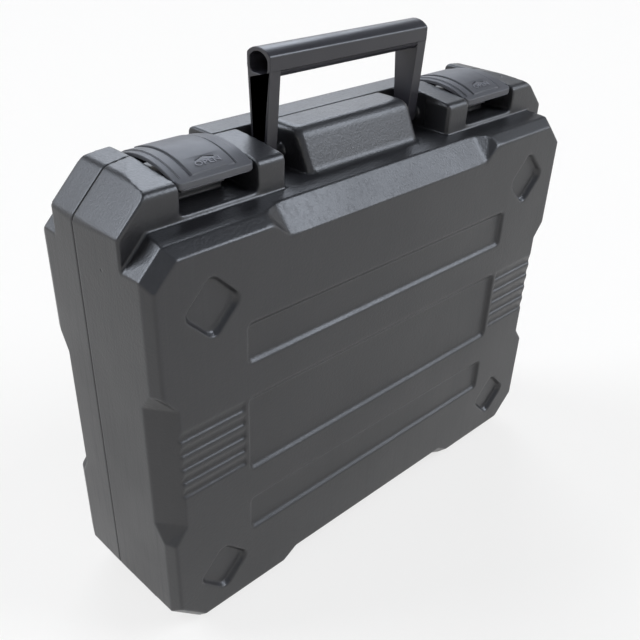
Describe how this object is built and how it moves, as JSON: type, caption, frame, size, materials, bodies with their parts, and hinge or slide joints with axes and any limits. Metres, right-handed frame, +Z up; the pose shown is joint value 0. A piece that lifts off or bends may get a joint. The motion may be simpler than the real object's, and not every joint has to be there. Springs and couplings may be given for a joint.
{
  "type": "hard tool case",
  "caption": "Hard plastic tool case standing on its hinge edge, with a folding handle, snap latches and a hinged lid over moulded pockets.",
  "frame": {"origin": "under the middle of the closed case, on the floor that its hinge edge stands on", "axes": "+Z up to the handle, +X along the width, the decorated front half towards -Y and the lid half towards +Y"},
  "size_m": [0.38, 0.1094, 0.3545],
  "materials": {
    "case_skin": "satin, fine grain",
    "case_inside": "matte",
    "handle_plastic": "satin",
    "latch_plastic": "matte, fine grain",
    "pin_steel": "drawn wire"
  },
  "bodies": {
    "base": {"front_shell": "case_skin", "front_liner": "case_inside", "handle_pin_left": "pin_steel", "handle_pin_right": "pin_steel", "hinge_pin_left": "pin_steel", "hinge_pin_right": "pin_steel"},
    "lid": {"rear_shell": "case_skin", "rear_liner": "case_inside", "latch_pin_left": "pin_steel", "latch_pin_right": "pin_steel"},
    "handle": {"handle": "handle_plastic"},
    "latch_left": {"latch_left": "latch_plastic"},
    "latch_right": {"latch_right": "latch_plastic"}
  },
  "joints": [
    {"name": "lid_hinge", "type": "hinge", "parent": "base", "child": "lid", "pos_m": [0, 0.0109, 0.0054], "axis": [-1, 0, 0], "range_deg": [0, 180]},
    {"name": "handle_fold", "type": "hinge", "parent": "base", "child": "handle", "pos_m": [0, 0.0001, 0.29141], "axis": [1, 0, 0], "range_deg": [0, 90]},
    {"name": "latch_left_lift", "type": "hinge", "parent": "lid", "child": "latch_left", "pos_m": [-0.1225, 0.0284, 0.29884], "axis": [-1, 0, 0], "range_deg": [0, 105]},
    {"name": "latch_right_lift", "type": "hinge", "parent": "lid", "child": "latch_right", "pos_m": [0.1225, 0.0284, 0.29884], "axis": [-1, 0, 0], "range_deg": [0, 105]}
  ]
}
